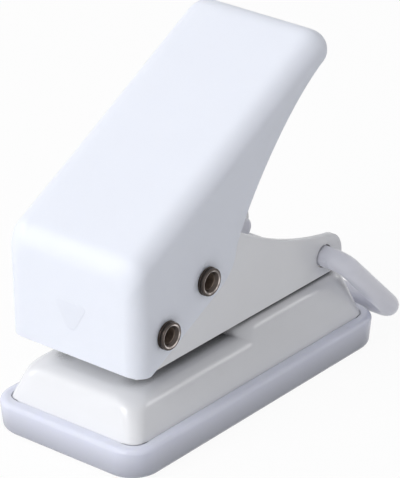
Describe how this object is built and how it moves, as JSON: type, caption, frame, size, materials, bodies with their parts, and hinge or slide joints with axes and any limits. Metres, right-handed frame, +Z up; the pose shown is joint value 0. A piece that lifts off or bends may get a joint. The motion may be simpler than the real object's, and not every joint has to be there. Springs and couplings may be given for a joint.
{
  "type": "single-hole desk punch",
  "caption": "Small lever-handled paper punch: moulded handle pivoted on a channel frame, sprung punch over a stepped base, push-fit chip tray and a carry loop at the tail.",
  "frame": {"origin": "centre of the flat foot of the chip tray, on the desk", "axes": "+X across the width, -Y towards the paper side (front), +Y towards the carry loop, +Z up"},
  "size_m": [0.0348, 0.0768, 0.0651],
  "materials": {
    "tray_plastic": "milky translucent, satin moulded",
    "base_enamel": "glossy white enamel",
    "frame_enamel": "glossy white enamel",
    "handle_plastic": "smooth white moulded",
    "loop_plastic": "satin white moulded",
    "pin_nickel": "nickel plated, rolled ends",
    "collar_steel": "plain steel",
    "tool_steel": "ground hardened steel",
    "spring_steel": "drawn wire",
    "rivet_steel": "zinc plated"
  },
  "bodies": {
    "tray": {"chip_tray": "tray_plastic"},
    "base": {"base_plate": "base_enamel", "die_ring": "tool_steel", "punch_frame": "frame_enamel", "frame_rivets": "rivet_steel", "punch_guide": "tool_steel", "return_spring": "spring_steel", "pivot_pin": "pin_nickel", "pivot_washers": "collar_steel"},
    "handle": {"handle_shell": "handle_plastic", "drive_pin": "pin_nickel", "drive_washers": "collar_steel"},
    "punch": {"punch": "tool_steel"},
    "loop": {"carry_loop": "loop_plastic"}
  },
  "joints": [
    {"name": "tray_lift", "type": "slide", "parent": "tray", "child": "base", "axis": [0, 0, 1], "range_m": [0, 0.012]},
    {"name": "handle_press", "type": "hinge", "parent": "base", "child": "handle", "pos_m": [0, -0.02421, 0.0242], "axis": [-1, 0, 0], "range_deg": [0, 25], "stiffness_Nm_per_rad": 0.1, "springref_deg": -28.65},
    {"name": "punch_slide", "type": "slide", "parent": "base", "child": "punch", "axis": [0, 0, -1], "range_m": [0, 0.0051], "deforming": ["return_spring"]},
    {"name": "loop_swing", "type": "hinge", "parent": "base", "child": "loop", "pos_m": [0, 0.0243, 0.0194], "axis": [1, 0, 0], "range_deg": [-5, 95]}
  ],
  "couplings": [
    {"joint": "punch_slide", "follows": "handle_press", "m_per_rad": 0.011644}
  ]
}
